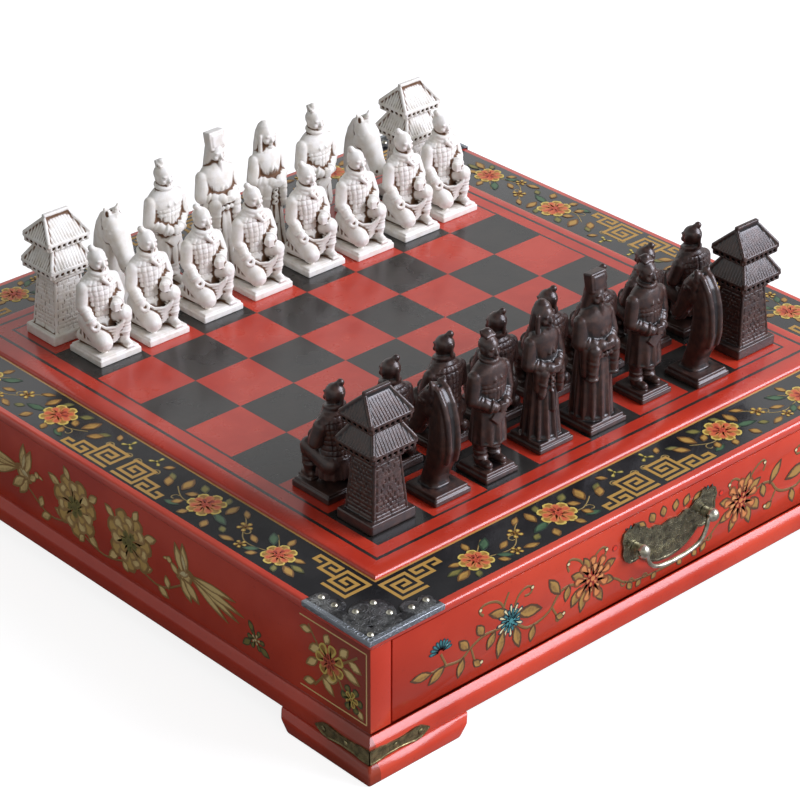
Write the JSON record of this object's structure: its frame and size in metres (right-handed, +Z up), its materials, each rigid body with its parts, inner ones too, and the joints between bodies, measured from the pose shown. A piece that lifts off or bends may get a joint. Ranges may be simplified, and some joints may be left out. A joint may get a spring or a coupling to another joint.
{
  "type": "chess box",
  "caption": "Square lacquered chess box on bracket feet: raised board on top, a drawer with a brass bail handle in one side, and a figure chess set that lifts off.",
  "frame": {"origin": "on the table under the middle of the case, level with the bottoms of the feet", "axes": "+Z up, -Y towards the drawer side, +X to the right as seen from the drawer side"},
  "size_m": [0.411, 0.4139, 0.1643],
  "materials": {
    "red_lacquer": "glossy vermilion lacquer with painted scrolls",
    "board_lacquer": "glossy vermilion lacquer with black squares",
    "black_lacquer": "glossy black lacquer with painted frets and flowers",
    "plain_wood": "sanded bare wood",
    "felt": "short felt",
    "brass": "worn, lightly engraved",
    "ivory_resin": "satin, brown wash in the hollows",
    "dark_resin": "semi-gloss"
  },
  "bodies": {
    "case": {"base_corner_straps": "brass", "base_mouldings": "red_lacquer", "bracket_feet": "red_lacquer", "case_back": "red_lacquer", "case_bottom": "plain_wood", "case_left_side": "red_lacquer", "case_right_side": "red_lacquer", "case_top": "black_lacquer", "corner_plate_nails": "brass", "drawer_runners": "plain_wood", "drawer_stops": "plain_wood", "playing_board": "board_lacquer", "strap_nails": "brass", "top_corner_plates": "brass"},
    "drawer": {"drawer_back": "plain_wood", "drawer_bottom": "plain_wood", "drawer_divider": "plain_wood", "drawer_front": "red_lacquer", "drawer_left_side": "plain_wood", "drawer_lining": "felt", "drawer_right_side": "plain_wood", "handle_backplate": "brass", "handle_posts": "brass", "handle_nuts": "brass"},
    "bail": {"handle_bail": "brass"},
    "dark_bishop_1_man": {"dark_bishop_1": "dark_resin"},
    "dark_bishop_2_man": {"dark_bishop_2": "dark_resin"},
    "dark_king_man": {"dark_king": "dark_resin"},
    "dark_knight_1_man": {"dark_knight_1": "dark_resin"},
    "dark_knight_2_man": {"dark_knight_2": "dark_resin"},
    "dark_pawn_1_man": {"dark_pawn_1": "dark_resin"},
    "dark_pawn_2_man": {"dark_pawn_2": "dark_resin"},
    "dark_pawn_3_man": {"dark_pawn_3": "dark_resin"},
    "dark_pawn_4_man": {"dark_pawn_4": "dark_resin"},
    "dark_pawn_5_man": {"dark_pawn_5": "dark_resin"},
    "dark_pawn_6_man": {"dark_pawn_6": "dark_resin"},
    "dark_pawn_7_man": {"dark_pawn_7": "dark_resin"},
    "dark_pawn_8_man": {"dark_pawn_8": "dark_resin"},
    "dark_queen_man": {"dark_queen": "dark_resin"},
    "dark_rook_1_man": {"dark_rook_1": "dark_resin"},
    "dark_rook_2_man": {"dark_rook_2": "dark_resin"},
    "white_bishop_1_man": {"white_bishop_1": "ivory_resin"},
    "white_bishop_2_man": {"white_bishop_2": "ivory_resin"},
    "white_king_man": {"white_king": "ivory_resin"},
    "white_knight_1_man": {"white_knight_1": "ivory_resin"},
    "white_knight_2_man": {"white_knight_2": "ivory_resin"},
    "white_pawn_1_man": {"white_pawn_1": "ivory_resin"},
    "white_pawn_2_man": {"white_pawn_2": "ivory_resin"},
    "white_pawn_3_man": {"white_pawn_3": "ivory_resin"},
    "white_pawn_4_man": {"white_pawn_4": "ivory_resin"},
    "white_pawn_5_man": {"white_pawn_5": "ivory_resin"},
    "white_pawn_6_man": {"white_pawn_6": "ivory_resin"},
    "white_pawn_7_man": {"white_pawn_7": "ivory_resin"},
    "white_pawn_8_man": {"white_pawn_8": "ivory_resin"},
    "white_queen_man": {"white_queen": "ivory_resin"},
    "white_rook_1_man": {"white_rook_1": "ivory_resin"},
    "white_rook_2_man": {"white_rook_2": "ivory_resin"}
  },
  "joints": [
    {"name": "drawer_slide", "type": "slide", "parent": "case", "child": "drawer", "axis": [0, -1, 0], "range_m": [0, 0.26]},
    {"name": "bail_swing", "type": "hinge", "parent": "drawer", "child": "bail", "pos_m": [0, -0.2048, 0.0512], "axis": [-1, 0, 0], "range_deg": [0, 170]},
    {"name": "dark_bishop_1_lift", "type": "slide", "parent": "case", "child": "dark_bishop_1_man", "axis": [0, 0, 1], "range_m": [0, 0.12]},
    {"name": "dark_bishop_2_lift", "type": "slide", "parent": "case", "child": "dark_bishop_2_man", "axis": [0, 0, 1], "range_m": [0, 0.12]},
    {"name": "dark_king_lift", "type": "slide", "parent": "case", "child": "dark_king_man", "axis": [0, 0, 1], "range_m": [0, 0.12]},
    {"name": "dark_knight_1_lift", "type": "slide", "parent": "case", "child": "dark_knight_1_man", "axis": [0, 0, 1], "range_m": [0, 0.12]},
    {"name": "dark_knight_2_lift", "type": "slide", "parent": "case", "child": "dark_knight_2_man", "axis": [0, 0, 1], "range_m": [0, 0.12]},
    {"name": "dark_pawn_1_lift", "type": "slide", "parent": "case", "child": "dark_pawn_1_man", "axis": [0, 0, 1], "range_m": [0, 0.12]},
    {"name": "dark_pawn_2_lift", "type": "slide", "parent": "case", "child": "dark_pawn_2_man", "axis": [0, 0, 1], "range_m": [0, 0.12]},
    {"name": "dark_pawn_3_lift", "type": "slide", "parent": "case", "child": "dark_pawn_3_man", "axis": [0, 0, 1], "range_m": [0, 0.12]},
    {"name": "dark_pawn_4_lift", "type": "slide", "parent": "case", "child": "dark_pawn_4_man", "axis": [0, 0, 1], "range_m": [0, 0.12]},
    {"name": "dark_pawn_5_lift", "type": "slide", "parent": "case", "child": "dark_pawn_5_man", "axis": [0, 0, 1], "range_m": [0, 0.12]},
    {"name": "dark_pawn_6_lift", "type": "slide", "parent": "case", "child": "dark_pawn_6_man", "axis": [0, 0, 1], "range_m": [0, 0.12]},
    {"name": "dark_pawn_7_lift", "type": "slide", "parent": "case", "child": "dark_pawn_7_man", "axis": [0, 0, 1], "range_m": [0, 0.12]},
    {"name": "dark_pawn_8_lift", "type": "slide", "parent": "case", "child": "dark_pawn_8_man", "axis": [0, 0, 1], "range_m": [0, 0.12]},
    {"name": "dark_queen_lift", "type": "slide", "parent": "case", "child": "dark_queen_man", "axis": [0, 0, 1], "range_m": [0, 0.12]},
    {"name": "dark_rook_1_lift", "type": "slide", "parent": "case", "child": "dark_rook_1_man", "axis": [0, 0, 1], "range_m": [0, 0.12]},
    {"name": "dark_rook_2_lift", "type": "slide", "parent": "case", "child": "dark_rook_2_man", "axis": [0, 0, 1], "range_m": [0, 0.12]},
    {"name": "white_bishop_1_lift", "type": "slide", "parent": "case", "child": "white_bishop_1_man", "axis": [0, 0, 1], "range_m": [0, 0.12]},
    {"name": "white_bishop_2_lift", "type": "slide", "parent": "case", "child": "white_bishop_2_man", "axis": [0, 0, 1], "range_m": [0, 0.12]},
    {"name": "white_king_lift", "type": "slide", "parent": "case", "child": "white_king_man", "axis": [0, 0, 1], "range_m": [0, 0.12]},
    {"name": "white_knight_1_lift", "type": "slide", "parent": "case", "child": "white_knight_1_man", "axis": [0, 0, 1], "range_m": [0, 0.12]},
    {"name": "white_knight_2_lift", "type": "slide", "parent": "case", "child": "white_knight_2_man", "axis": [0, 0, 1], "range_m": [0, 0.12]},
    {"name": "white_pawn_1_lift", "type": "slide", "parent": "case", "child": "white_pawn_1_man", "axis": [0, 0, 1], "range_m": [0, 0.12]},
    {"name": "white_pawn_2_lift", "type": "slide", "parent": "case", "child": "white_pawn_2_man", "axis": [0, 0, 1], "range_m": [0, 0.12]},
    {"name": "white_pawn_3_lift", "type": "slide", "parent": "case", "child": "white_pawn_3_man", "axis": [0, 0, 1], "range_m": [0, 0.12]},
    {"name": "white_pawn_4_lift", "type": "slide", "parent": "case", "child": "white_pawn_4_man", "axis": [0, 0, 1], "range_m": [0, 0.12]},
    {"name": "white_pawn_5_lift", "type": "slide", "parent": "case", "child": "white_pawn_5_man", "axis": [0, 0, 1], "range_m": [0, 0.12]},
    {"name": "white_pawn_6_lift", "type": "slide", "parent": "case", "child": "white_pawn_6_man", "axis": [0, 0, 1], "range_m": [0, 0.12]},
    {"name": "white_pawn_7_lift", "type": "slide", "parent": "case", "child": "white_pawn_7_man", "axis": [0, 0, 1], "range_m": [0, 0.12]},
    {"name": "white_pawn_8_lift", "type": "slide", "parent": "case", "child": "white_pawn_8_man", "axis": [0, 0, 1], "range_m": [0, 0.12]},
    {"name": "white_queen_lift", "type": "slide", "parent": "case", "child": "white_queen_man", "axis": [0, 0, 1], "range_m": [0, 0.12]},
    {"name": "white_rook_1_lift", "type": "slide", "parent": "case", "child": "white_rook_1_man", "axis": [0, 0, 1], "range_m": [0, 0.12]},
    {"name": "white_rook_2_lift", "type": "slide", "parent": "case", "child": "white_rook_2_man", "axis": [0, 0, 1], "range_m": [0, 0.12]}
  ]
}
